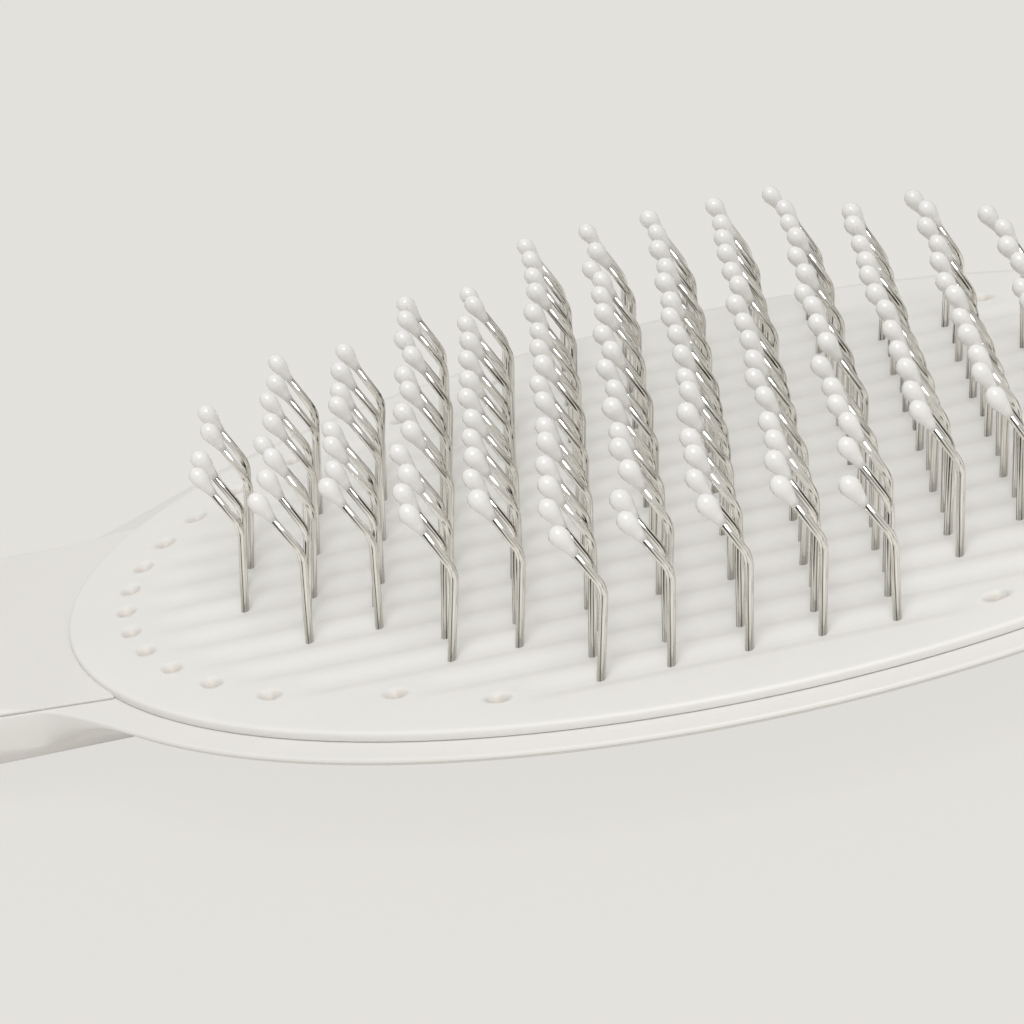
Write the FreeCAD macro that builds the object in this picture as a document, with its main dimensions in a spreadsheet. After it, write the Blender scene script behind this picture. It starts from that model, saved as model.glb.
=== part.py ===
import FreeCAD, Part
import math
import os
import Sketcher

Vector = FreeCAD.Vector
doc = FreeCAD.newDocument("GroomingBrush")

# The brush lies on its back: +Z up out of the pins, the handle towards -X, the head towards +X.
# The origin is the middle of the surface that it rests on. Lengths are in millimetres, angles in degrees.
SIZES = [
    ("overall_length", 188.0, "far edge of the head to the end of the handle"),
    ("head_length", 97.2, "oval head, along the brush"),
    ("head_width", 75.0, "oval head, across the brush"),
    ("shell_depth", 7.4, "back of the head to the rim under the plate"),
    ("rim_band", 0.7, "upright edge round the shell"),
    ("crown_inset", 22.6, "edge of the head to the flat that it rests on"),
    ("crown_power", 1.35, "how quickly the back of the head rounds up to the band"),
    ("plate_inset", 2.2, "edge of the head to the edge of the plate, a flat border on the shell"),
    ("parting_gap", 0.12, "fine line between shell and plate"),
    ("flange_thickness", 0.6, "edge of the plate that shows above the parting line"),
    ("plug_inset", 2.4, "edge of the plate to the plug under it"),
    ("plug_depth", 1.2, "how far the plug reaches down into the shell"),
    ("plug_clearance", 0.1, "play round the plug"),
    ("row_count", 16, "rows of pins across the head"),
    ("row_pitch", 3.84, "one row of pins to the next"),
    ("column_pitch", 4.8, "one column of pins to the next"),
    ("groove_width", 2.7, "shallow groove along each row, at the top"),
    ("groove_floor", 1.3, "flat bottom of a groove, which the pins stand on"),
    ("groove_depth", 0.4, "surface of the plate to a groove's floor"),
    ("dimple_inset", 4.2, "edge of the plate to the oval that the grooves and dimples end on"),
    ("dimple_width", 1.7, "dimple at each end of a groove"),
    ("dimple_depth", 0.55, "surface of the plate to a dimple's floor"),
    ("wire_width", 0.5, "steel wire, corner to corner of its section"),
    ("leg_height", 6.4, "groove floor to the knee of a pin"),
    ("leg_lean", 11.5, "leg from upright, away from the handle"),
    ("arm_length", 3.05, "knee of a pin to the end of its wire"),
    ("arm_lean", 24.5, "arm from upright, towards the handle"),
    ("tip_length", 2.5, "dipped drop on the end of a pin"),
    ("tip_width", 1.42, "drop at its fullest"),
    ("tip_nose", 0.72, "drop at its blunt end"),
    ("tip_full_at", 1.6, "end of the wire to the fullest part of the drop"),
    ("root_end_width", 10.0, "width of the handle's inner end, inside the crown"),
    ("root_end_inset", 30.4, "edge of the head to the handle's inner end"),
    ("root_width", 30.0, "width of the handle where it leaves the head"),
    ("root_inset", 5.6, "edge of the head to the start of the handle's sides"),
    ("neck_width", 25.0, "narrowest width of the handle"),
    ("neck_reach", 15.4, "edge of the head to the narrowest width of the handle"),
    ("grip_width", 30.0, "width of the handle at its end"),
    ("end_round", 13.5, "corners of the handle's end, seen from above"),
    ("neck_round", 40.0, "bends in the handle's sides, seen from above"),
    ("handle_arch", 27.0, "radius of the handle's back and top, seen along the brush"),
    ("handle_lift", 0.3, "back of the handle above the flat that the head rests on"),
    ("cover_height", 6.8, "parting line to the top of the handle"),
    ("cover_droop", 3.0, "top of the grip at its middle above its two ends"),
    ("cover_rise", 95.0, "radius of the slope from the plate up to the grip"),
    ("hang_hole_width", 6.0, "hole to hang the brush by"),
    ("hang_hole_inset", 11.0, "end of the handle to the middle of the hole"),
]
WIRE_SIDES = 4
TIP_SIDES = 5
DIMPLE_SIDES = 8
PINS_IN_COLUMN = [4, 8, 8, 12, 12, 16, 16, 16, 16, 16, 12, 12, 8, 8, 4]

sheet = doc.addObject("Spreadsheet::Sheet", "Sizes")
for number, (alias, value, meaning) in enumerate(SIZES, start=1):
    sheet.set("A%d" % number, meaning)
    sheet.set("B%d" % number, str(value))
    sheet.setAlias("B%d" % number, alias)
doc.recompute()


def size(alias):
    """A driving dimension as a plain number."""
    return float(getattr(sheet, alias))


# Heights and centres that several pieces share, as expressions over the sheet.
HEAD_CENTRE = "(Sizes.overall_length - Sizes.head_length) / 2"
PLATE_TOP = "(Sizes.shell_depth + Sizes.parting_gap + Sizes.flange_thickness)"
GROOVE_FLOOR_HEIGHT = "(%s - Sizes.groove_depth)" % PLATE_TOP
LEDGE_HEIGHT = "(Sizes.shell_depth - Sizes.plug_depth)"
HEAD_REACH = "(Sizes.head_length / 2)"
FIELD_INSET = "(Sizes.plate_inset + Sizes.dimple_inset)"
HANDLE_LENGTH = "(Sizes.overall_length - Sizes.head_length / 2)"
NECK_DISTANCE = "(Sizes.head_length / 2 + Sizes.neck_reach)"

plate_top = size("shell_depth") + size("parting_gap") + size("flange_thickness")
head_centre = (size("overall_length") - size("head_length")) / 2
field_half_length = size("head_length") / 2 - size("plate_inset") - size("dimple_inset")
field_half_width = size("head_width") / 2 - size("plate_inset") - size("dimple_inset")


def bind(item, **expressions):
    """Binds properties of an object to expressions. Two underscores stand for a point."""
    for name, expression in expressions.items():
        item.setExpression(name.replace("__", "."), expression)


def place(item, x="0", y="0", z="0"):
    """Puts an object's own origin at a point given by three expressions."""
    bind(item, Placement__Base__x=x, Placement__Base__y=y, Placement__Base__z=z)


def origin_item(body, role):
    """One of the three base planes or axes of a body."""
    return [item for item in body.Origin.OriginFeatures if item.Role == role][0]


def sketch_polygon(body, name, plane, corners):
    """A closed polygon on a base plane of a body. Each corner is a pair of expressions."""
    sketch = body.newObject("Sketcher::SketchObject", name)
    sketch.AttachmentSupport = [(origin_item(body, plane), "")]
    sketch.MapMode = "FlatFace"
    points = [
        Vector(sketch.evalExpression(across), sketch.evalExpression(along), 0)
        for across, along in corners
    ]
    total = len(points)
    for index in range(total):
        sketch.addGeometry(Part.LineSegment(points[index], points[(index + 1) % total]))
    for index in range(total):
        sketch.addConstraint(Sketcher.Constraint("Coincident", index, 2, (index + 1) % total, 1))
    for index, (across, along) in enumerate(corners):
        for kind, value, expression in (
            ("DistanceX", points[index].x, across),
            ("DistanceY", points[index].y, along),
        ):
            number = sketch.addConstraint(Sketcher.Constraint(kind, -1, 1, index, 1, value))
            label = "%s%d" % (kind, index)
            sketch.renameConstraint(number, label)
            sketch.setExpression("Constraints.%s" % label, expression)
    return sketch


def round_section(width):
    """Corners of the few-sided section that stands for a fine round one, as pairs of expressions."""
    angles = [360 / WIRE_SIDES * step for step in range(WIRE_SIDES)]
    return [
        ("%s / 2 * cos(%g deg)" % (width, angle), "%s / 2 * sin(%g deg)" % (width, angle))
        for angle in angles
    ]


def oval_disc(name, inset, bottom, height):
    """An upright slab with the head's oval outline drawn in by an inset, from a bottom up by a height."""
    outline = doc.addObject("Part::Ellipse", name + "_outline")
    bind(
        outline,
        MajorRadius="Sizes.head_length / 2 - (%s)" % inset,
        MinorRadius="Sizes.head_width / 2 - (%s)" % inset,
    )
    place(outline, x=HEAD_CENTRE, z=bottom)
    disc = doc.addObject("Part::Extrusion", name)
    disc.Base = outline
    disc.DirMode = "Custom"
    disc.Dir = Vector(0, 0, 1)
    disc.Solid = True
    bind(disc, LengthFwd=height)
    return disc


def combine(kind, name, base, tools):
    """Cuts the tools from the base, or fuses them with it."""
    if kind == "Part::Cut":
        tool = tools[0]
        if len(tools) > 1:
            tool = doc.addObject("Part::MultiFuse", name + "_tools")
            tool.Shapes = tools
        result = doc.addObject(kind, name)
        result.Base = base
        result.Tool = tool
        return result
    result = doc.addObject(kind, name)
    result.Shapes = [base] + tools
    return result


def round_edges(body, name, base, edges, radius):
    """Rounds some edges of a body's last feature."""
    rounding = body.newObject("PartDesign::Fillet", name)
    rounding.Base = (base, edges)
    bind(rounding, Radius=radius)
    body.Tip = rounding
    doc.recompute()
    return rounding


def pins_that_fit(distance):
    """How many pins fit in a column at a distance from the middle of the head."""
    share = 1 - (distance / field_half_length) ** 2
    if share <= 0:
        return 0
    reach = field_half_width * math.sqrt(share) - size("dimple_width") / 2
    return max(0, 2 * math.floor(reach / size("row_pitch") + 0.5))


def row_heights():
    """Place of each row across the head, for the rows that fit on the plate."""
    count = int(size("row_count"))
    across = [(index - (count - 1) / 2) * size("row_pitch") for index in range(count)]
    return [y for y in across if abs(y) < field_half_width - size("dimple_width") / 4]


# Pin plate
# A moulded oval plate: a thin flange lies over the shell's rim and a plug drops inside it. A shallow
# groove runs along each row of pins and ends at each side in a round dimple.
flange = oval_disc(
    "flange",
    "Sizes.plate_inset",
    "Sizes.shell_depth + Sizes.parting_gap",
    "Sizes.flange_thickness",
)
plug = oval_disc(
    "plug",
    "Sizes.plate_inset + Sizes.plug_inset",
    LEDGE_HEIGHT,
    "Sizes.plug_depth + Sizes.parting_gap + Sizes.flange_thickness / 2",
)

groove_body = doc.addObject("PartDesign::Body", "groove_form")
groove_body.AllowCompound = True
groove_section = sketch_polygon(
    groove_body,
    "groove_section",
    "YZ_Plane",
    [
        ("-Sizes.groove_floor / 2", "-Sizes.groove_depth"),
        ("Sizes.groove_floor / 2", "-Sizes.groove_depth"),
        ("Sizes.groove_width / 2", "0"),
        ("Sizes.groove_width / 2", "Sizes.groove_depth"),
        ("-Sizes.groove_width / 2", "Sizes.groove_depth"),
        ("-Sizes.groove_width / 2", "0"),
    ],
)
groove = groove_body.newObject("PartDesign::Pad", "groove")
groove.Profile = groove_section
groove.Midplane = True
bind(groove, Length="Sizes.head_length")
doc.recompute()
rows = row_heights()
grooves = groove_body.newObject("PartDesign::LinearPattern", "grooves")
grooves.Originals = [groove]
grooves.Direction = (origin_item(groove_body, "Y_Axis"), [""])
grooves.Mode = "Spacing"
grooves.Occurrences = len(rows)
bind(grooves, Offset="Sizes.row_pitch")
groove_body.Tip = grooves
place(groove_body, x=HEAD_CENTRE, y="-%g * Sizes.row_pitch" % ((len(rows) - 1) / 2), z=PLATE_TOP)

groove_field = oval_disc("groove_field", FIELD_INSET, LEDGE_HEIGHT, "Sizes.shell_depth")
groove_cutter = doc.addObject("Part::MultiCommon", "groove_cutter")
groove_cutter.Shapes = [groove_body, groove_field]

dimples = []
for number, y in enumerate(rows, start=1):
    across = "%g * Sizes.row_pitch" % (number - (len(rows) + 1) / 2)
    reach = (
        "(Sizes.head_length / 2 - %s)"
        " * sqrt(1 - (%s / (Sizes.head_width / 2 - %s)) ^ 2)" % (FIELD_INSET, across, FIELD_INSET)
    )
    for side, sign in (("near", "-"), ("far", "+")):
        dimple = doc.addObject("Part::Prism", "dimple_%s_%02d" % (side, number))
        dimple.Polygon = DIMPLE_SIDES
        bind(dimple, Circumradius="Sizes.dimple_width / 2", Height="2 * Sizes.dimple_depth")
        place(
            dimple,
            x="%s %s %s" % (HEAD_CENTRE, sign, reach),
            y=across,
            z="%s - Sizes.dimple_depth" % PLATE_TOP,
        )
        dimples.append(dimple)

plate_blank = combine("Part::MultiFuse", "plate_blank", flange, [plug])
pin_plate = combine("Part::Cut", "pin_plate", plate_blank, [groove_cutter] + dimples)

# Handle outline
# Both halves of the handle share one outline, seen from above: it leaves the back of the head inside
# the crown, narrows to a neck and widens to a rounded end.
def handle_outline(body, name):
    """The handle's outline in a body whose origin is the middle of the head."""
    side = [
        ("Sizes.root_end_inset - %s" % HEAD_REACH, "Sizes.root_end_width / 2"),
        ("Sizes.root_inset - %s" % HEAD_REACH, "Sizes.root_width / 2"),
        ("-%s" % NECK_DISTANCE, "Sizes.neck_width / 2"),
        ("-%s" % HANDLE_LENGTH, "Sizes.grip_width / 2"),
    ]
    other_side = [(x, "-(%s)" % y) for x, y in reversed(side)]
    return sketch_polygon(body, name, "XY_Plane", side + other_side)


def handle_half(name, bottom, height):
    """A slab with the handle's outline, its bends and end rounded as seen from above."""
    body = doc.addObject("PartDesign::Body", name)
    pad = body.newObject("PartDesign::Pad", name + "_pad")
    pad.Profile = handle_outline(body, name + "_outline")
    bind(pad, Length=height)
    body.Tip = pad
    doc.recompute()
    place(body, x=HEAD_CENTRE, z=bottom)
    end = -(size("overall_length") - size("head_length") / 2)
    neck = -size("head_length") / 2 - size("neck_reach")
    root = size("root_inset") - size("head_length") / 2

    def upright(feature, edge_x):
        """Upright edges of a feature at a place along the handle."""
        return [
            "Edge%d" % (index + 1)
            for index, edge in enumerate(feature.Shape.Edges)
            if all(abs(vertex.Point.x - edge_x) < 0.01 for vertex in edge.Vertexes)
            and edge.BoundBox.ZLength > 0.1
        ]

    bends = upright(pad, neck) + upright(pad, root)
    rounded = round_edges(body, name + "_bends", pad, bends, "Sizes.neck_round")
    round_edges(body, name + "_end", rounded, upright(rounded, end), "Sizes.end_round")
    return body


def lengthwise_bar(name, centre_height):
    """A round bar along the whole brush, whose side is the arch across the handle."""
    bar = doc.addObject("Part::Cylinder", name)
    bar.Placement = FreeCAD.Placement(
        Vector(0, 0, 0), FreeCAD.Rotation(Vector(0, 1, 0), 90)
    )
    bind(bar, Radius="Sizes.handle_arch", Height="Sizes.overall_length")
    place(bar, x="-Sizes.overall_length / 2", z=centre_height)
    return bar


def crosswise_bar(name, radius, centre_along, centre_height):
    """A round bar across the brush, whose side is a long curve of the handle's top."""
    bar = doc.addObject("Part::Cylinder", name)
    bar.Placement = FreeCAD.Placement(
        Vector(0, 0, 0), FreeCAD.Rotation(Vector(1, 0, 0), 90)
    )
    bind(bar, Radius=radius, Height="Sizes.head_width")
    place(bar, x=centre_along, y="Sizes.head_width / 2", z=centre_height)
    return bar


# Back shell
# One moulding: the crowned back of the head, a flat border that stands out round the plate, and the back
# half of the handle. A shallow oval seat inside the border takes the plate's plug.
rim = oval_disc("rim", "0", "Sizes.shell_depth - Sizes.rim_band", "Sizes.rim_band")
crown_sections = []
CROWN_STEPS = 3
for step in range(CROWN_STEPS + 1):
    share = "(%d / %d)" % (step, CROWN_STEPS)
    section = doc.addObject("Part::Ellipse", "crown_section_%d" % step)
    bind(
        section,
        MajorRadius="Sizes.head_length / 2 - Sizes.crown_inset * %s" % share,
        MinorRadius="Sizes.head_width / 2 - Sizes.crown_inset * %s" % share,
    )
    place(
        section,
        x=HEAD_CENTRE,
        z="(Sizes.shell_depth - Sizes.rim_band) * (1 - %s) ^ Sizes.crown_power" % share,
    )
    crown_sections.append(section)
crown = doc.addObject("Part::Loft", "crown")
crown.Sections = crown_sections
crown.Solid = True
crown.Ruled = False

back_slab = handle_half("back_slab", "0", "Sizes.shell_depth")
back_arch = lengthwise_bar("back_arch", "Sizes.handle_arch + Sizes.handle_lift")
handle_back = doc.addObject("Part::MultiCommon", "handle_back")
handle_back.Shapes = [back_slab, back_arch]

seat = oval_disc(
    "seat",
    "Sizes.plate_inset + Sizes.plug_inset - Sizes.plug_clearance",
    LEDGE_HEIGHT,
    "Sizes.plug_depth * 2",
)

def hang_hole(name):
    """A rod as wide as the hanging hole, through both halves of the handle."""
    rod = doc.addObject("Part::Cylinder", name)
    bind(
        rod,
        Radius="Sizes.hang_hole_width / 2",
        Height="3 * (Sizes.shell_depth + Sizes.cover_height)",
    )
    place(
        rod,
        x="-Sizes.overall_length / 2 + Sizes.hang_hole_inset",
        z="-(Sizes.shell_depth + Sizes.cover_height)",
    )
    return rod


shell_blank = combine("Part::MultiFuse", "shell_blank", crown, [rim, handle_back])
back_shell = combine("Part::Cut", "back_shell", shell_blank, [seat, hang_hole("shell_hang_hole")])

# Handle cover
# The top half of the handle: it starts level with the plate beside the head, rises in a long hollow
# slope to the grip and is arched both across and along. It lies on the shell at the parting line.
COVER_TOP = "(Sizes.shell_depth + Sizes.cover_height)"
cover_slab = handle_half("cover_slab", "Sizes.shell_depth", "Sizes.cover_height")
cover_arch = lengthwise_bar("cover_arch", "%s - Sizes.handle_arch" % COVER_TOP)
GRIP_HALF_LENGTH = "((%s - %s) / 2)" % (HANDLE_LENGTH, NECK_DISTANCE)
GRIP_RADIUS = "(%s ^ 2 / (2 * Sizes.cover_droop) + Sizes.cover_droop / 2)" % GRIP_HALF_LENGTH
cover_crown = crosswise_bar(
    "cover_crown",
    GRIP_RADIUS,
    "%s - (%s + %s) / 2" % (HEAD_CENTRE, NECK_DISTANCE, HANDLE_LENGTH),
    "%s - %s" % (COVER_TOP, GRIP_RADIUS),
)
cover_blank = doc.addObject("Part::MultiCommon", "cover_blank")
cover_blank.Shapes = [cover_slab, cover_arch, cover_crown]
cover_slope = crosswise_bar(
    "cover_slope",
    "Sizes.cover_rise",
    "%s - Sizes.head_length / 2 + Sizes.plate_inset" % HEAD_CENTRE,
    "%s + Sizes.cover_rise" % PLATE_TOP,
)
head_clearance = oval_disc(
    "head_clearance",
    "Sizes.plate_inset - Sizes.parting_gap",
    "Sizes.shell_depth / 2",
    "Sizes.shell_depth + 2 * Sizes.cover_height",
)
handle_cover = combine(
    "Part::Cut",
    "handle_cover",
    cover_blank,
    [cover_slope, head_clearance, hang_hole("cover_hang_hole")],
)


# Pins
# Each pin is a steel wire that leans away from the handle up to its knee and back towards the handle
# above it. Its end is dipped in a white drop. A column of pins is one row of copies across the head.
def pin_foot(column, columns, count):
    """Where the first pin of a column stands, as three expressions."""
    return dict(
        x="%s + %g * Sizes.column_pitch" % (HEAD_CENTRE, column - (columns + 1) / 2),
        y="-%g * Sizes.row_pitch" % ((count - 1) / 2),
        z=GROOVE_FLOOR_HEIGHT,
    )


def across_the_head(body, feature, name, count):
    """Copies a feature across the head, one row apart."""
    pattern = body.newObject("PartDesign::LinearPattern", name)
    pattern.Originals = [feature]
    pattern.Direction = (origin_item(body, "Y_Axis"), [""])
    pattern.Mode = "Spacing"
    pattern.Occurrences = count
    bind(pattern, Offset="Sizes.row_pitch")
    body.Tip = pattern


LEG_START = ("-Sizes.wire_width * tan(Sizes.leg_lean * 1 deg)", "-Sizes.wire_width")
LEG_END = ("Sizes.leg_height * tan(Sizes.leg_lean * 1 deg)", "Sizes.leg_height")
ARM_END = (
    "%s - Sizes.arm_length * sin(Sizes.arm_lean * 1 deg)" % LEG_END[0],
    "%s + Sizes.arm_length * cos(Sizes.arm_lean * 1 deg)" % LEG_END[1],
)


def wire_column(column, columns, count):
    """The steel wires of one column: a section of few sides swept up the leg and along the arm.

    The sweep starts below the foot, square to the leg, and is then cut level with the groove's floor.
    """
    name = "wires_col_%02d" % column
    body = doc.addObject("PartDesign::Body", name)
    body.AllowCompound = True
    path = body.newObject("Sketcher::SketchObject", name + "_path")
    path.AttachmentSupport = [(origin_item(body, "XZ_Plane"), "")]
    path.MapMode = "FlatFace"
    stops = [LEG_START, LEG_END, ARM_END]
    points = [Vector(path.evalExpression(x), path.evalExpression(z), 0) for x, z in stops]
    path.addGeometry(Part.LineSegment(points[0], points[1]))
    path.addGeometry(Part.LineSegment(points[1], points[2]))
    path.addConstraint(Sketcher.Constraint("Coincident", 0, 2, 1, 1))
    for label, line, end, (x, z), point in (
        ("start", 0, 1, LEG_START, points[0]),
        ("knee", 0, 2, LEG_END, points[1]),
        ("end", 1, 2, ARM_END, points[2]),
    ):
        for kind, value, expression in (("DistanceX", point.x, x), ("DistanceY", point.y, z)):
            number = path.addConstraint(Sketcher.Constraint(kind, -1, 1, line, end, value))
            path.renameConstraint(number, label + kind)
            path.setExpression("Constraints.%s" % (label + kind), expression)
    section = sketch_polygon(body, name + "_section", "XY_Plane", round_section("Sizes.wire_width"))
    section.AttachmentOffset = FreeCAD.Placement(
        Vector(0, 0, 0), FreeCAD.Rotation(Vector(0, 1, 0), size("leg_lean"))
    )
    bind(
        section,
        AttachmentOffset__Base__x=LEG_START[0],
        AttachmentOffset__Base__z=LEG_START[1],
        AttachmentOffset__Rotation__Angle="Sizes.leg_lean * 1 deg",
    )
    doc.recompute()
    wire = body.newObject("PartDesign::AdditivePipe", name + "_wire")
    wire.Profile = section
    wire.Spine = path
    wire.Transition = "Right corner"
    body.Tip = wire
    doc.recompute()
    across_the_head(body, wire, name + "_copies", count)
    below_foot = [
        ("-2 * Sizes.wire_width", "0"),
        ("-2 * Sizes.wire_width", "-2 * Sizes.wire_width"),
        ("2 * Sizes.wire_width", "-2 * Sizes.wire_width"),
        ("2 * Sizes.wire_width", "0"),
    ]
    trim = body.newObject("PartDesign::Pocket", name + "_trim")
    trim.Profile = sketch_polygon(body, name + "_below_foot", "XZ_Plane", below_foot)
    trim.Midplane = True
    bind(trim, Length="4 * Sizes.head_width")
    body.Tip = trim
    place(body, **pin_foot(column, columns, count))
    return body


def flat_sided_drop():
    """One dipped drop along +Z, from its seat on the wire to its blunt nose, as a solid of flat faces."""
    rings = []
    for width, height in (
        (size("wire_width"), 0.0),
        (size("tip_width"), size("tip_full_at")),
        (size("tip_nose"), size("tip_length")),
    ):
        angles = [2 * math.pi / TIP_SIDES * step for step in range(TIP_SIDES)]
        rings.append(
            [
                Vector(width / 2 * math.cos(angle), width / 2 * math.sin(angle), height)
                for angle in angles
            ]
        )
    outlines = [rings[0], rings[-1]]
    for lower, upper in zip(rings, rings[1:]):
        for step in range(TIP_SIDES):
            after = (step + 1) % TIP_SIDES
            outlines.append([lower[step], lower[after], upper[after], upper[step]])
    faces = [Part.Face(Part.makePolygon(outline + outline[:1])) for outline in outlines]
    return Part.makeSolid(Part.makeShell(faces))


def tip_column(column, columns, count):
    """The dipped drops of one column, each built along the arm that carries it."""
    tips = doc.addObject("Part::Feature", "tips_col_%02d" % column)
    lean = math.radians(size("leg_lean"))
    arm = math.radians(size("arm_lean"))
    seat_point = Vector(
        head_centre
        + (column - (columns + 1) / 2) * size("column_pitch")
        + size("leg_height") * math.tan(lean)
        - size("arm_length") * math.sin(arm),
        -(count - 1) / 2 * size("row_pitch"),
        plate_top
        - size("groove_depth")
        + size("leg_height")
        + size("arm_length") * math.cos(arm),
    )
    drop = flat_sided_drop()
    drop.rotate(Vector(0, 0, 0), Vector(0, 1, 0), -size("arm_lean"))
    copies = []
    for number in range(count):
        copy = drop.copy()
        copy.translate(Vector(0, number * size("row_pitch"), 0))
        copies.append(copy)
    tips.Shape = Part.makeCompound(copies)
    tips.Placement = FreeCAD.Placement(seat_point, FreeCAD.Rotation())
    return tips


pin_columns = []
for column, wanted in enumerate(PINS_IN_COLUMN, start=1):
    distance = (column - (len(PINS_IN_COLUMN) + 1) / 2) * size("column_pitch")
    count = min(wanted, pins_that_fit(distance))
    if count > 0:
        pin_columns.append(wire_column(column, len(PINS_IN_COLUMN), count))
        pin_columns.append(tip_column(column, len(PINS_IN_COLUMN), count))

doc.recompute()

sub_parts = [pin_plate, back_shell, handle_cover] + pin_columns
for item in doc.Objects:
    if {"Invalid", "Error"} & set(item.State):
        raise RuntimeError("%s did not build" % item.Name)
for item in sub_parts:
    if item.Shape.isNull() or not item.Shape.isValid():
        raise RuntimeError("%s has no sound shape" % item.Name)

os.makedirs("parts", exist_ok=True)
for item in sub_parts:
    item.Label = item.Name
    item.Shape.exportStep("parts/%s.step" % item.Label)
    print(item.Label, len(item.Shape.Solids), "solids", round(item.Shape.Volume, 1), "mm3")
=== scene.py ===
import math

import bmesh
import bpy
import numpy as np
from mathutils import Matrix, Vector


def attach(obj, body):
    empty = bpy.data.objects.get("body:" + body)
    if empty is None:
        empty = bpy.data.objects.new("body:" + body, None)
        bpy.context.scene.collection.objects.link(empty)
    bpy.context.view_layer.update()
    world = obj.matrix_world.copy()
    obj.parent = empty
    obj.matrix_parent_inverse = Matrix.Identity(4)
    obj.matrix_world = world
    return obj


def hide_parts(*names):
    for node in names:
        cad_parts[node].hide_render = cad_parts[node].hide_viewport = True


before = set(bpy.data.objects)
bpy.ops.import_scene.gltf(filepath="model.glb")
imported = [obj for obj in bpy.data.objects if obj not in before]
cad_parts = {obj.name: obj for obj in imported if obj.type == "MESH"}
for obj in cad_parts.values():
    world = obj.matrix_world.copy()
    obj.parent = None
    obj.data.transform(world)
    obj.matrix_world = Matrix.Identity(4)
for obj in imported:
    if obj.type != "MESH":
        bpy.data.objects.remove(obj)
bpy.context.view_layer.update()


# Back shell
# One ivory moulding: the crowned back of the oval head, with a flat border that stands out round the
# plate, running on into the back half of the handle. Sizes are in millimetres.
HEAD_X = 45.4
HEAD_LONG, HEAD_WIDE = 48.6, 37.48
RIM_HEIGHT = 7.4
CROWN_HEIGHT, CROWN_REACH = 6.95, 22.6
HANDLE_END = -94.0
END_RADIUS, END_FLAT = 13.5, 1.5
ARCH_RADIUS = 27
WAIST_X = HEAD_X - HEAD_LONG - 15.4
HOLE_X, HOLE_RADIUS, HOLE_EDGE, HOLE_SIDES = HANDLE_END + 11, 3, 0.8, 48
IVORY = (0.785, 0.771, 0.744, 1.0)


def soft_min(a, b, reach):
    """The smaller of two values, rounded where they differ by less than a reach (a quadratic blend)."""
    near = np.maximum(reach - np.abs(a - b), 0) / np.maximum(reach, 1e-9)
    return np.minimum(a, b) - near**2 * reach / 4


def soft_max(a, b, reach):
    """The larger of two values, rounded where they differ by less than a reach."""
    return -soft_min(-a, -b, reach)


def ease(t):
    """0 below 0, 1 above 1, and 3t^2 - 2t^3 between."""
    t = np.clip(t, 0, 1)
    return t * t * (3 - 2 * t)


def round_over(edge_distance, radius):
    """How far a rounded edge falls away: r - sqrt(r^2 - (r - e)^2) at a distance e under r, else 0."""
    inner = np.clip(radius - edge_distance, 0, radius)
    return radius - np.sqrt(np.maximum(radius**2 - inner**2, 0))


def oval_inset(x, y):
    """Inset i of the head's oval (x/(a-i))^2 + (y/(b-i))^2 = 1 that a point lies on, found by halving."""
    across, along = np.abs(x - HEAD_X), np.abs(y)
    low, high = np.full(np.shape(across), -250.0), np.full(np.shape(across), 30.0)
    for _ in range(40):
        middle = (low + high) / 2
        outside = (across / (HEAD_LONG - middle)) ** 2 + (along / (HEAD_WIDE - middle)) ** 2 > 1
        high, low = np.where(outside, middle, high), np.where(outside, low, middle)
    return (low + high) / 2


def handle_half_width(x):
    """Half the handle's width: 12.5 + 0.0435 p + 0.0772 (sqrt(p^2 + 9) - 1.2) at a distance p past the waist,
    which is two straight tapers and a soft waist, and a round end. It is 0 past x = 30, inside the head."""
    past_waist = x - WAIST_X
    taper = 12.5 + 0.0435 * past_waist + 0.0772 * (np.sqrt(past_waist**2 + 9) - 1.2)
    in_end = np.clip(HANDLE_END + END_RADIUS - x, 0, END_RADIUS)
    round_end = END_FLAT + np.sqrt(np.maximum(END_RADIUS**2 - in_end**2, 0))
    return np.where(x > 30, 0, np.minimum(taper, np.where(in_end > 0, round_end, 99)))


def outline_half_width(x):
    """Half the width of head and handle together, with a fillet of up to 7 mm where they meet, between
    x = -60 and x = 40."""
    head = HEAD_WIDE * np.sqrt(np.clip(1 - ((x - HEAD_X) / HEAD_LONG) ** 2, 0, 1))
    return soft_max(head, handle_half_width(x), 7.0 * ease((40 - x) / 20) * ease((x + 60) / 20))


def handle_edge_distance(x, y):
    """Distance of a point to the handle's outline, positive inside. Under the head it stops at x = 20."""
    side = np.minimum(handle_half_width(x) - np.abs(y), x - HANDLE_END)
    corner = END_RADIUS - np.hypot(x - HANDLE_END - END_RADIUS, np.maximum(np.abs(y) - END_FLAT, 0))
    return np.minimum(np.where(x < HANDLE_END + END_RADIUS, np.minimum(corner, side), side), 20 - x)


def hole_distance(x, y):
    """Distance of a point to the rim of the 6 mm hanging hole."""
    return np.hypot(x - HOLE_X, y) - HOLE_RADIUS


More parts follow.
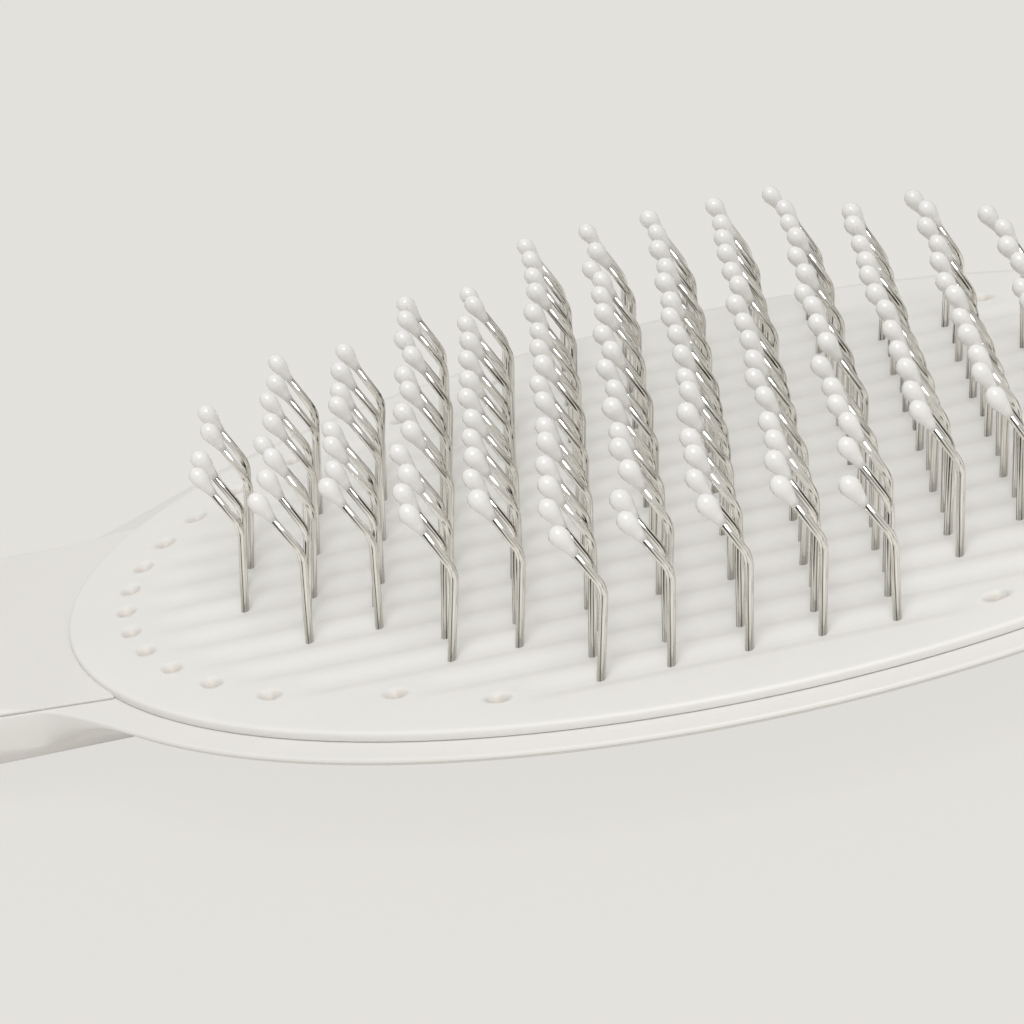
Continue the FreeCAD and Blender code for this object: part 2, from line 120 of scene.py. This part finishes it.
def back_height(x, y):
    """Height of the back: the crown 6.95 (1 - i/22.6)^1.35 over the oval's inset i, blended into the handle's
    arch of radius 27, which starts 0.3 mm up. The edges at the outline and the hole are rounded, the handle's
    more (1.6 mm) than the head's (0.3 mm)."""
    inset = oval_inset(x, y)
    crown = CROWN_HEIGHT * np.clip(1 - inset / CROWN_REACH, 0, None) ** 1.35
    arch = ARCH_RADIUS + 0.3 - np.sqrt(ARCH_RADIUS**2 - np.clip(y, -26, 26) ** 2)
    arch = arch + 3 * np.clip((x - 15) / 10, 0, None) ** 2
    base = soft_min(crown, arch, 2.5 * np.clip(crown / 2, 0, 1))
    edge = soft_max(inset, handle_edge_distance(x, y), 3.0)
    radius = 0.3 + 1.3 * ease(-x / 12)
    rounded = base + round_over(np.maximum(edge, 0), radius)
    return rounded + round_over(np.maximum(hole_distance(x, y), 0), HOLE_EDGE)


def ring_faces(rows, ring):
    """Quads of a closed tube of rows, each a ring of points, as an array of corner indices."""
    row, step = np.meshgrid(np.arange(rows - 1), np.arange(ring), indexing="ij")
    after = (step + 1) % ring
    return np.stack(
        [row * ring + step, row * ring + after, (row + 1) * ring + after, (row + 1) * ring + step], -1
    ).reshape(-1, 4)


def make_piece(name, points, faces, caps, stands_for):
    """A smooth mesh from points in millimetres, quads and end polygons, riding on the brush. Points that lie
    within 0.002 mm of each other are joined."""
    mesh = bpy.data.meshes.new(name)
    mesh.from_pydata((np.asarray(points) * 0.001).tolist(), [], faces.tolist() + caps)
    mesh.update()
    piece = bpy.data.objects.new(name, mesh)
    bpy.context.scene.collection.objects.link(piece)
    work = bmesh.new()
    work.from_mesh(mesh)
    bmesh.ops.remove_doubles(work, verts=work.verts, dist=2e-6)
    bmesh.ops.recalc_face_normals(work, faces=work.faces)
    work.to_mesh(mesh)
    work.free()
    mesh.shade_smooth()
    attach(piece, "root")
    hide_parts(*stands_for)
    return piece


def outline_stations(start, end, count):
    """Places along the brush, crowded at both ends as a cosine does."""
    turn = np.linspace(0, math.pi, count)
    return (start + end) / 2 - (end - start) / 2 * np.cos(turn)


def inward(x, y, amount):
    """The outline's points moved inward by an amount, square to the outline."""
    along, across = np.gradient(x), np.gradient(y)
    length = np.hypot(along, across)
    return x + amount * across / length, y - amount * along / length


def cut_hole(piece):
    """Takes the hanging hole, a rod of 48 sides that runs from below the brush to above it, out of a finished
    piece."""
    turn = np.linspace(0, 2 * math.pi, HOLE_SIDES, endpoint=False)
    circle = np.stack([HOLE_X + HOLE_RADIUS * np.cos(turn), HOLE_RADIUS * np.sin(turn)], -1)
    points = np.concatenate([np.c_[circle, np.full(HOLE_SIDES, z)] for z in (-5.0, 20.0)])
    mesh = bpy.data.meshes.new("hole_rod")
    caps = [list(range(HOLE_SIDES))[::-1], list(range(HOLE_SIDES, 2 * HOLE_SIDES))]
    mesh.from_pydata((points * 0.001).tolist(), [], ring_faces(2, HOLE_SIDES).tolist() + caps)
    rod = bpy.data.objects.new("hole_rod", mesh)
    bpy.context.scene.collection.objects.link(rod)
    cut = piece.modifiers.new("hanging_hole", "BOOLEAN")
    cut.object, cut.operation, cut.solver = rod, "DIFFERENCE", "EXACT"
    shown = piece.evaluated_get(bpy.context.evaluated_depsgraph_get())
    finished = bpy.data.meshes.new_from_object(shown)
    piece.modifiers.clear()
    piece.data = finished
    bpy.data.objects.remove(rod)


# The shell is a row of closed sections. The first closes the flat end of the handle on its middle line.
SHELL_STATIONS, SHELL_COLUMNS = 300, 97
stations = outline_stations(HANDLE_END, HEAD_X + HEAD_LONG, SHELL_STATIONS)
stations = np.concatenate([[HANDLE_END], stations])
half = outline_half_width(stations)
half[0] = 0
spread = np.sin(np.linspace(math.pi / 2, -math.pi / 2, SHELL_COLUMNS))
under_x = np.repeat(stations[:, None], SHELL_COLUMNS, 1)
under_y = half[:, None] * spread[None, :]
under_z = np.minimum(back_height(under_x, under_y), RIM_HEIGHT - 0.3)

# Each column of the rim's rolled lip and wall: inset, drop below the rim, share of the way down the wall.
LIP_COLUMNS = ((0.2, 0.0, 0), (0.1, 0.027, 0), (0.03, 0.1, 0), (0.0, 0.2, 0), (0.0, 0.2, 0.5))
side_columns = []
for inset, drop, down in LIP_COLUMNS:
    edge_x, edge_y = inward(stations, half, inset)
    height = (RIM_HEIGHT - drop) * (1 - down) + under_z[:, 0] * down
    side_columns.append(np.stack([edge_x, np.maximum(edge_y, 0), height], -1))
near_side = np.stack(side_columns, 1)
far_side = near_side[:, ::-1] * [1, -1, 1]
section = np.concatenate([near_side, np.stack([under_x, under_y, under_z], -1), far_side], 1)
shell = make_piece(
    "moulded_back_shell",
    section.reshape(-1, 3),
    ring_faces(*section.shape[:2]),
    [],
    ["back_shell"],
)
cut_hole(shell)


def fresh_material(name):
    """A new material, with its nodes, its links and its main shader."""
    material = bpy.data.materials.new(name)
    material.use_nodes = True
    tree = material.node_tree
    return material, tree.nodes, tree.links, tree.nodes["Principled BSDF"]


def moulded_plastic(name, colour, roughness, grain):
    """Satin moulded plastic: faint clouds in the colour and the gloss, and a very fine surface grain."""
    material, nodes, links, shader = fresh_material(name)
    place = nodes.new("ShaderNodeTexCoord")
    cloud = nodes.new("ShaderNodeTexNoise")
    cloud.inputs["Scale"].default_value = 90
    cloud.inputs["Detail"].default_value = 3
    links.new(place.outputs["Object"], cloud.inputs["Vector"])
    tone = nodes.new("ShaderNodeValToRGB")
    dark, light = tone.color_ramp.elements
    dark.position, dark.color = 0.3, tuple(0.975 * channel for channel in colour[:3]) + (1,)
    light.position, light.color = 0.7, colour
    links.new(cloud.outputs["Fac"], tone.inputs["Fac"])
    links.new(tone.outputs["Color"], shader.inputs["Base Color"])
    gloss = nodes.new("ShaderNodeMapRange")
    gloss.inputs["To Min"].default_value = roughness - 0.04
    gloss.inputs["To Max"].default_value = roughness + 0.05
    links.new(cloud.outputs["Fac"], gloss.inputs["Value"])
    links.new(gloss.outputs["Result"], shader.inputs["Roughness"])
    fine = nodes.new("ShaderNodeTexNoise")
    fine.inputs["Scale"].default_value = 2600
    fine.inputs["Detail"].default_value = 2
    links.new(place.outputs["Object"], fine.inputs["Vector"])
    bump = nodes.new("ShaderNodeBump")
    bump.inputs["Strength"].default_value = grain
    bump.inputs["Distance"].default_value = 0.00003
    links.new(fine.outputs["Fac"], bump.inputs["Height"])
    links.new(bump.outputs["Normal"], shader.inputs["Normal"])
    shader.inputs["IOR"].default_value = 1.49
    return material


shell_plastic = moulded_plastic("ivory_shell_plastic", IVORY, 0.42, 0.25)
shell.data.materials.clear()
shell.data.materials.append(shell_plastic)


# Handle cover
# The top half of the handle, a second moulding that closes on the shell at a fine parting line. It starts
# level with the plate, rises in a long hollow slope to the grip, and is arched across and along.
PLATE_INSET, CLEARANCE = 2.2, 0.12
COVER_TOP, COVER_EDGE, GRIP_ARCH = 14.2, 2.2, 3
HOLLOW_RADIUS, HOLLOW_CENTRE = 95, 103.12


def cover_height(x, y):
    """Top of the cover: the least of an arch across (radius 27), an arch along that rises 3 mm, and the
    hollow slope (radius 95) up from the head, softly joined, with rounded edges at outline and hole."""
    arch = COVER_TOP - ARCH_RADIUS + np.sqrt(ARCH_RADIUS**2 - np.clip(y, -26, 26) ** 2)
    grip_half = (WAIST_X - HANDLE_END) / 2
    long_radius = grip_half**2 / (2 * GRIP_ARCH) + GRIP_ARCH / 2
    along = COVER_TOP - long_radius + np.sqrt(long_radius**2 - (x - HANDLE_END - grip_half) ** 2)
    past_head = np.clip(x - HEAD_X + HEAD_LONG - PLATE_INSET, 1 - HOLLOW_RADIUS, HOLLOW_RADIUS - 1)
    hollow = HOLLOW_CENTRE - np.sqrt(HOLLOW_RADIUS**2 - past_head**2)
    top = soft_min(soft_min(arch, along, 1.5), np.where(x < -60, 99, hollow), 2.0)
    radius = np.minimum(COVER_EDGE, 0.7 * (top - RIM_HEIGHT))
    edge = np.maximum(handle_edge_distance(x, y), 0)
    return top - round_over(edge, radius) - round_over(np.maximum(hole_distance(x, y), 0), HOLE_EDGE)


def cover_end(y):
    """Where the cover stops beside the plate: the plate's oval with 0.12 mm of clearance."""
    gap = PLATE_INSET - CLEARANCE
    return HEAD_X - (HEAD_LONG - gap) * np.sqrt(1 - (y / (HEAD_WIDE - gap)) ** 2)


COVER_STATIONS, COVER_COLUMNS = 200, 81
cover_start = float(cover_end(0.0))
cover_stations = outline_stations(HANDLE_END, cover_start, COVER_STATIONS)
lean = ease((cover_stations - cover_start + 30) / 30)
across = np.sin(np.linspace(math.pi / 2, -math.pi / 2, COVER_COLUMNS))

# Over its last 30 mm each row bends towards the plate's oval. Its width depends on its place, so the two are
# found in turns.
top_x = np.repeat(cover_stations[:, None], COVER_COLUMNS, 1)
for _ in range(6):
    top_y = handle_half_width(top_x) * across[None, :]
    top_x = cover_stations[:, None] + lean[:, None] * (cover_end(top_y) - cover_start)
top_z = np.maximum(cover_height(top_x, top_y), RIM_HEIGHT + 0.25)

# Each column of the wall and the lip under it: inset, share of the way down, height above the shell's rim.
WALL_COLUMNS = ((0.0, 0.45, 0.0675), (0.0, 1, 0.15), (0.04, 1, 0.04), (0.15, 1, 0.0))
lower = []
for inset, down, lift in WALL_COLUMNS:
    edge_x, edge_y = inward(top_x[:, -1], -top_y[:, -1], inset)
    height = top_z[:, -1] * (1 - down) + (RIM_HEIGHT + lift) * down
    lower.append(np.stack([edge_x, -edge_y, height], -1))
far_wall = np.stack(lower, 1)
near_wall = far_wall[:, ::-1] * [1, -1, 1]
section = np.concatenate([near_wall, np.stack([top_x, top_y, top_z], -1), far_wall], 1)
ring = section.shape[1]
cover = make_piece(
    "moulded_handle_cover",
    section.reshape(-1, 3),
    ring_faces(COVER_STATIONS, ring),
    [list(range(ring)), list(range((COVER_STATIONS - 1) * ring, COVER_STATIONS * ring))[::-1]],
    ["handle_cover"],
)
cut_hole(cover)
cover.data.materials.clear()
cover.data.materials.append(shell_plastic)


# Pin plate
# The oval moulding that carries the pins. A shallow soft-edged groove runs along each of the 16 rows and
# ends at each side in a small round dimple. Its thin flange lies over the shell's rim.
PLATE_TOP, FLANGE_UNDERSIDE, PLUG_BOTTOM = 8.12, 7.46, 6.2
PLATE_LONG, PLATE_WIDE = HEAD_LONG - PLATE_INSET, HEAD_WIDE - PLATE_INSET
ROW_PITCH, COLUMN_PITCH = 3.84, 4.8
GROOVE_DEPTH, GROOVE_FLAT, GROOVE_SIDE = 0.22, 0.2, 1.55
DIMPLE_DEPTH, DIMPLE_FLAT, DIMPLE_SIDE = 0.75, 0.2, 0.62
DIMPLE_INSET, SHORT_ROW, SHORTER = 4.2, 6.5, 2.6


def plate_height(x, y):
    """Height of the plate's top, and how far a point lies into a dimple, from 0 to 1.

    The top is flat, less a soft-sided groove on each row that fades out towards its ends, less a round dimple
    past each end, flat to 0.2 mm from its middle and gone at 0.82 mm. The dimples lie on an oval, but for
    those of the last but one row at each side, which lie 2.6 mm further in."""
    row = np.clip(np.round(y / ROW_PITCH - 0.5) + 0.5, -7.5, 7.5) * ROW_PITCH
    beside = np.abs(y - row)
    groove = 1 - ease((beside - GROOVE_FLAT) / GROOVE_SIDE)
    end = (PLATE_LONG - DIMPLE_INSET) * np.sqrt(1 - (row / (PLATE_WIDE - DIMPLE_INSET)) ** 2)
    end = end - np.where(np.abs(np.abs(row) - SHORT_ROW * ROW_PITCH) < 1, SHORTER, 0)
    inside = ease((end - np.abs(x - HEAD_X) - 0.6) / 3.6)
    from_dimple = np.hypot(np.abs(x - HEAD_X) - end, beside)
    dimple = 1 - ease((from_dimple - DIMPLE_FLAT) / DIMPLE_SIDE)
    return PLATE_TOP - np.maximum(GROOVE_DEPTH * groove * inside, DIMPLE_DEPTH * dimple), dimple


# The top is a grid that narrows to a point at both long sides, where fans of triangles close it.
FIELD_INSET = 2.9
ACROSS, ALONG = 291, 281
turn = np.linspace(-math.pi / 2, math.pi / 2, ACROSS)[1:-1]
share = np.sin(np.linspace(-math.pi / 2, math.pi / 2, ALONG))
field_x = HEAD_X + (PLATE_LONG - FIELD_INSET) * np.cos(turn)[:, None] * share[None, :]
field_y = (PLATE_WIDE - FIELD_INSET) * np.sin(turn)[:, None] * np.ones(ALONG)[None, :]
field = np.stack([field_x, field_y, plate_height(field_x, field_y)[0]], -1)
row, step = np.meshgrid(np.arange(ACROSS - 3), np.arange(ALONG - 1), indexing="ij")
corner = row * ALONG + step
field_faces = np.stack([corner, corner + 1, corner + ALONG + 1, corner + ALONG], -1).reshape(-1, 4)
start_pole = (ACROSS - 2) * ALONG
end_pole = start_pole + 1
poles = PLATE_WIDE - FIELD_INSET
pole_points = np.array([[HEAD_X, -poles, PLATE_TOP], [HEAD_X, poles, PLATE_TOP]])
steps = np.arange(ALONG - 1)
start_fan = np.stack([np.full(ALONG - 1, start_pole), steps + 1, steps], -1)
last = (ACROSS - 3) * ALONG
end_fan = np.stack([np.full(ALONG - 1, end_pole), last + steps, last + steps + 1], -1)

# The plate's edge is one profile of inset and height, carried round the oval and closed underneath.
EDGE_ROLL = 0.28
near_half = np.linspace(-math.pi / 2, math.pi / 2, ACROSS)
around = np.concatenate([near_half, near_half[1:-1] + math.pi])
rolled = [
    (EDGE_ROLL - EDGE_ROLL * math.sin(a), PLATE_TOP - EDGE_ROLL + 0.27 * math.cos(a))
    for a in (0.35, 0.7, 1.05, 1.3, 1.57)
]
profile = np.array(
    [(FIELD_INSET, PLATE_TOP), (1.6, PLATE_TOP), (0.6, PLATE_TOP), (EDGE_ROLL, PLATE_TOP - 0.01)]
    + rolled
    + [(0.0, FLANGE_UNDERSIDE + 0.05), (0.015, FLANGE_UNDERSIDE + 0.015), (0.05, FLANGE_UNDERSIDE)]
    + [(2.4, FLANGE_UNDERSIDE), (2.4, PLUG_BOTTOM), (12.0, PLUG_BOTTOM)]
)
edge_x = HEAD_X + (PLATE_LONG - profile[:, 0])[:, None] * np.cos(around)[None, :]
edge_y = (PLATE_WIDE - profile[:, 0])[:, None] * np.sin(around)[None, :]
edge = np.stack([edge_x, edge_y, np.broadcast_to(profile[:, 1][:, None], edge_x.shape)], -1)
offset = end_pole + 1
edge_faces = ring_faces(len(profile), len(around)) + offset
bottom = (np.arange(len(around)) + offset + (len(profile) - 1) * len(around)).tolist()
plate = make_piece(
    "grooved_pin_plate",
    np.concatenate([field.reshape(-1, 3), pole_points, edge.reshape(-1, 3)]),
    np.concatenate([field_faces, edge_faces]),
    start_fan.tolist() + end_fan.tolist() + [bottom],
    ["pin_plate"],
)

# The small deep dimples are painted darker and tinted warmer than the ivory. This is painted shade in the
# recesses, with the tint of light that soaks into the plastic, so their colour is stored point by point and
# laid over the ivory.
spots = np.zeros((len(plate.data.vertices), 3), np.float32)
plate.data.vertices.foreach_get("co", spots.ravel())
plate_x, plate_y, plate_z = 1000 * spots.T.astype(float)
# Painted shade: how far each point lies into a dimple, on the plate's top only.
painted_dimple_shade = plate_height(plate_x, plate_y)[1] * (plate_z > PLATE_TOP - 1)
store = plate.data.attributes.new("dimple_painted_shade", "FLOAT", "POINT")
store.data.foreach_set("value", painted_dimple_shade.astype(np.float32))
plate_plastic = moulded_plastic("ivory_plate_plastic", (0.818, 0.806, 0.779, 1.0), 0.46, 0.3)
nodes, links = plate_plastic.node_tree.nodes, plate_plastic.node_tree.links
painted_shade_attribute = nodes.new("ShaderNodeAttribute")
painted_shade_attribute.attribute_name = "dimple_painted_shade"
painted_shade_share = nodes.new("ShaderNodeMath")
painted_shade_share.operation = "MULTIPLY"
painted_shade_share.inputs[1].default_value = 0.9
links.new(painted_shade_attribute.outputs["Fac"], painted_shade_share.inputs[0])
over = nodes.new("ShaderNodeMix")
over.data_type = "RGBA"
# The dark colour of the painted shade in the dimples.
over.inputs["B"].default_value = (0.52, 0.45, 0.38, 1)
links.new(painted_shade_share.outputs["Value"], over.inputs["Factor"])
links.new(nodes["Color Ramp"].outputs["Color"], over.inputs["A"])
links.new(over.outputs["Result"], nodes["Principled BSDF"].inputs["Base Color"])
plate.data.materials.append(plate_plastic)


# Steel pins
# Each pin is one drawn steel wire, bent once at the knee. It starts 0.4 mm below the plate's top, where the
# solids have the floor of the groove, and is 0.56 mm wide, as the near pins of the photograph measure.
PINS_IN_COLUMN = [4, 8, 8, 12, 12, 16, 16, 16, 16, 16, 12, 12, 8, 8, 4]
MIDDLE_COLUMN, STAGGER = 8, 0.14
PIN_FLOOR = PLATE_TOP - 0.4
KNEE = np.array([1.30, 6.4])
WIRE_END = np.array([0.04, 9.18])
WIRE_RADIUS, WIRE_SIDES = 0.28, 8
ROOT, BEND = 0.3, 0.75
FRONT_PINS = {
    4: (0.24, 1.58, 6.25, 0.23, 9.30),
    5: (-0.06, 1.54, 6.50, 0.28, 9.30),
    6: (0.20, 1.51, 6.31, 0.22, 8.86),
    7: (-0.06, 1.27, 6.53, 0.01, 8.92),
    8: (0.12, 1.22, 6.44, 0.02, 8.92),
    9: (0.00, 1.27, 6.39, -0.02, 9.13),
    10: (-0.04, 0.80, 5.66, -0.55, 8.23),
}


def swept_points(path, radius, sides):
    """A round tube: at each point of a path in the x-z plane, a circle square to the path's direction.

    The path is an array of pins by stations by 2, and each ring is centre + r (cos t * side + sin t * y)."""
    ahead = np.gradient(path, axis=1)
    ahead /= np.linalg.norm(ahead, axis=2, keepdims=True)
    turn = np.linspace(0, 2 * math.pi, sides, endpoint=False)
    beside = np.stack([ahead[..., 1], -ahead[..., 0]], -1)
    radius = np.broadcast_to(radius, path.shape[:2])[..., None]
    x = path[..., None, 0] + radius * np.cos(turn) * beside[..., None, 0]
    z = path[..., None, 1] + radius * np.cos(turn) * beside[..., None, 1]
    y = radius * np.sin(turn) * np.ones_like(x)
    return np.stack([x, y, z], -1)


def bent_path(knee, end):
    """Centre line of each wire, from a root 0.3 mm under its foot at (0, 0): straight leg, a bend that starts
    and ends 0.75 mm from the knee as a quadratic curve, straight arm."""
    arm = end - knee
    up_leg = knee / np.linalg.norm(knee, axis=1, keepdims=True)
    before = knee - up_leg * BEND
    after = knee + arm / np.linalg.norm(arm, axis=1, keepdims=True) * BEND
    bend = [
        (1 - t) ** 2 * before + 2 * t * (1 - t) * knee + t**2 * after for t in (0, 0.25, 0.5, 0.75, 1)
    ]
    return np.stack([-up_leg * ROOT] + bend + [end], 1)


def tube_faces(pins, rows, sides):
    """Quads of a number of like tubes, one after the other, and the two end polygons of each."""
    first = (np.arange(pins) * rows * sides)[:, None]
    faces = (ring_faces(rows, sides)[None] + first[..., None]).reshape(-1, 4)
    start = np.arange(sides)[::-1][None] + first
    end = np.arange(sides)[None] + first + (rows - 1) * sides
    return faces, start.tolist() + end.tolist()


def column_places(column, count):
    """Feet, knees and wire ends of a column's pins, each a little different in height and lean.

    The front pins of seven columns have the bends of FRONT_PINS: the foot's shift, then knee and wire end,
    each across and up."""
    chance = np.random.default_rng(100 + column)
    rows = np.arange(count) - (count - 1) / 2
    x = HEAD_X + (column - MIDDLE_COLUMN) * COLUMN_PITCH
    x = x + STAGGER * np.where(np.round(rows - 0.5) % 2 == 0, 1, -1)
    y = rows * ROW_PITCH
    taller = np.clip(chance.normal(0, 0.14, count), -0.3, 0.1)
    leaning = np.clip(chance.normal(0, 0.12, count), -0.25, 0.25)
    knee = KNEE + np.stack([leaning, taller], -1)
    end = WIRE_END + np.stack([leaning * 1.4, taller * 1.2], -1)
    if column in FRONT_PINS:
        shift, knee_across, knee_up, end_across, end_up = FRONT_PINS[column]
        x[0] = HEAD_X + (column - MIDDLE_COLUMN) * COLUMN_PITCH + shift
        knee[0], end[0] = (knee_across, knee_up), (end_across, end_up)
    return x, y, knee, end


def at_feet(tubes, x, y):
    """Tubes that were made round (0, 0), each moved to its pin's foot."""
    return tubes + np.stack([x, y, np.full(len(x), PIN_FLOOR)], -1)[:, None, None]


def give_streaks(piece, tubes):
    """Stores for each point its place round its wire as (cos t, sin t) and its length along it, so that the
    die lines and the painted reflections of the drawn steel follow each wire."""
    pins, rows, sides = tubes.shape[:3]
    turn = np.linspace(0, 2 * math.pi, sides, endpoint=False)
    along = np.linspace(0, 1, rows)[None, :, None] + 7.0 * np.arange(pins)[:, None, None]
    place = np.stack(np.broadcast_arrays(np.cos(turn), np.sin(turn), along), -1)
    store = piece.data.attributes.new("round_the_wire", "FLOAT_VECTOR", "POINT")
    store.data.foreach_set("vector", place.astype(np.float32).ravel())


# Drawn steel: the die lines and the painted reflections are dark, dull and light streaks of one noise.
wire_steel, nodes, links, steel = fresh_material("drawn_steel_wire")
steel.inputs["Metallic"].default_value = 1.0
place = nodes.new("ShaderNodeAttribute")
place.attribute_name = "round_the_wire"
die_lines_and_reflections = nodes.new("ShaderNodeTexNoise")
die_lines_and_reflections.inputs["Scale"].default_value = 2.3
die_lines_and_reflections.inputs["Detail"].default_value = 3
die_lines_and_reflections.inputs["Roughness"].default_value = 0.6
links.new(place.outputs["Vector"], die_lines_and_reflections.inputs["Vector"])
tone = nodes.new("ShaderNodeValToRGB")
dark, light = tone.color_ramp.elements
# Painted reflections along with the die lines: the near-black and near-white streaks stand in for the
# surroundings that the steel mirrors.
dark.position, dark.color = 0.38, (0.05, 0.046, 0.04, 1)
light.position, light.color = 0.58, (0.97, 0.955, 0.91, 1)
dull = tone.color_ramp.elements.new(0.43)
dull.color = (0.66, 0.64, 0.59, 1)
bright = tone.color_ramp.elements.new(0.53)
bright.color = (0.84, 0.82, 0.77, 1)
links.new(die_lines_and_reflections.outputs["Fac"], tone.inputs["Fac"])
links.new(tone.outputs["Color"], steel.inputs["Base Color"])
gloss = nodes.new("ShaderNodeMapRange")
gloss.inputs["To Min"].default_value = 0.08
gloss.inputs["To Max"].default_value = 0.2
links.new(die_lines_and_reflections.outputs["Fac"], gloss.inputs["Value"])
links.new(gloss.outputs["Result"], steel.inputs["Roughness"])

for column, count in enumerate(PINS_IN_COLUMN, start=1):
    x, y, knee, end = column_places(column, count)
    path = bent_path(knee, end)
    tubes = at_feet(swept_points(path, WIRE_RADIUS, WIRE_SIDES), x, y)
    faces, caps = tube_faces(count, path.shape[1], WIRE_SIDES)
    wires = make_piece(
        "steel_wires_%02d" % column,
        tubes.reshape(-1, 3),
        faces,
        caps,
        ["wires_col_%02d" % column],
    )
    wires.data.materials.append(wire_steel)
    give_streaks(wires, tubes)


# Dipped tips
# The end of each wire is dipped in a white coating that dries as a long drop: it starts thin on the wire,
# is fullest near its far end and closes in a round nose. The profile is length along the wire and radius.
DROP_PROFILE = np.array(
    [(0.0, 0.29), (0.5, 0.4), (1.0, 0.56), (1.45, 0.68), (1.9, 0.63), (2.2, 0.4), (2.34, 0.13)]
)
DROP_SIDES = 8
coating, nodes, links, coat = fresh_material("white_dipped_coating")
coat.inputs["Roughness"].default_value = 0.24
coat.inputs["Coat Weight"].default_value = 0.4
coat.inputs["Coat Roughness"].default_value = 0.08
place = nodes.new("ShaderNodeTexCoord")
film = nodes.new("ShaderNodeTexNoise")
film.inputs["Scale"].default_value = 700
links.new(place.outputs["Object"], film.inputs["Vector"])
tone = nodes.new("ShaderNodeValToRGB")
dark, light = tone.color_ramp.elements
dark.position, dark.color = 0.3, (0.82, 0.81, 0.785, 1)
light.position, light.color = 0.7, (0.86, 0.85, 0.83, 1)
links.new(film.outputs["Fac"], tone.inputs["Fac"])
links.new(tone.outputs["Color"], coat.inputs["Base Color"])

for column, count in enumerate(PINS_IN_COLUMN, start=1):
    x, y, knee, end = column_places(column, count)
    ahead = (end - knee) / np.linalg.norm(end - knee, axis=1, keepdims=True)
    path = end[:, None] + ahead[:, None] * DROP_PROFILE[None, :, :1]
    fuller = 1 + np.clip(np.random.default_rng(500 + column).normal(0, 0.04, count), -0.08, 0.06)
    drops = at_feet(swept_points(path, DROP_PROFILE[None, :, 1] * fuller[:, None], DROP_SIDES), x, y)
    faces, caps = tube_faces(count, len(DROP_PROFILE), DROP_SIDES)
    tips = make_piece(
        "dipped_tips_%02d" % column,
        drops.reshape(-1, 3),
        faces,
        caps,
        ["tips_col_%02d" % column],
    )
    tips.data.materials.append(coating)


# Floor and light
# A plain pale sheet under the brush, a soft lamp above and in front, a weak fill further forward, and a pale
# sky. The sheet shows nearly its own colour to the camera and in reflections, as a paper backdrop would.
floor_mesh = bpy.data.meshes.new("pale_floor")
floor_mesh.from_pydata([(-4, -4, 0), (4, -4, 0), (4, 6, 0), (-4, 6, 0)], [], [(0, 1, 2, 3)])
floor = bpy.data.objects.new("pale_floor", floor_mesh)
bpy.context.scene.collection.objects.link(floor)
floor_material, nodes, links, paint = fresh_material("pale_floor_paint")
paint.inputs["Base Color"].default_value = (0.78, 0.765, 0.735, 1)
paint.inputs["Roughness"].default_value = 0.9
paint.inputs["Specular IOR Level"].default_value = 0.1
seen = nodes.new("ShaderNodeLightPath")
glow = nodes.new("ShaderNodeEmission")
glow.inputs["Color"].default_value = (0.775, 0.757, 0.725, 1)
either = nodes.new("ShaderNodeMath")
either.operation = "MAXIMUM"
links.new(seen.outputs["Is Camera Ray"], either.inputs[0])
links.new(seen.outputs["Is Glossy Ray"], either.inputs[1])
glow_share = nodes.new("ShaderNodeMath")
glow_share.operation = "MULTIPLY"
glow_share.inputs[1].default_value = 0.94
links.new(either.outputs["Value"], glow_share.inputs[0])
blend = nodes.new("ShaderNodeMixShader")
links.new(glow_share.outputs["Value"], blend.inputs["Fac"])
links.new(paint.outputs["BSDF"], blend.inputs[1])
links.new(glow.outputs["Emission"], blend.inputs[2])
links.new(blend.outputs["Shader"], nodes["Material Output"].inputs["Surface"])
floor_mesh.materials.append(floor_material)

world = bpy.data.worlds.new("pale_room")
bpy.context.scene.world = world
world.use_nodes = True
sky = world.node_tree.nodes["Background"]
sky.inputs["Color"].default_value = (0.80, 0.79, 0.775, 1)
sky.inputs["Strength"].default_value = 0.76


def soft_lamp(name, spot, aim, width, power):
    """A square area lamp at one point, turned to face another."""
    light = bpy.data.lights.new(name, "AREA")
    light.size, light.energy = width, power
    lamp = bpy.data.objects.new(name, light)
    direction = Vector(aim) - Vector(spot)
    lamp.rotation_mode = "QUATERNION"
    lamp.location = spot
    lamp.rotation_quaternion = direction.to_track_quat("-Z", "Y")
    bpy.context.scene.collection.objects.link(lamp)


soft_lamp("soft_key", (0.1, -0.45, 0.8), (0.04, 0, 0), 0.4, 3.95)
soft_lamp("soft_fill", (0.15, -0.75, 0.25), (0.04, 0, 0), 0.6, 0.1)

# Camera at the photograph's angle: low over the near long side of the head, tilted, through a long lens.
view = bpy.data.cameras.new("photo_camera")
view.lens, view.sensor_width = 131.23, 36
view.clip_start, view.clip_end = 0.01, 20
camera = bpy.data.objects.new("photo_camera", view)
camera.location = (0.0470628, -0.2422293, 0.1053412)
camera.rotation_euler = [math.radians(a) for a in (67.7756, 12.2165, -1.1715)]
bpy.context.scene.collection.objects.link(camera)
bpy.context.scene.camera = camera
bpy.context.scene.view_settings.view_transform = "Standard"

bpy.context.view_layer.update()
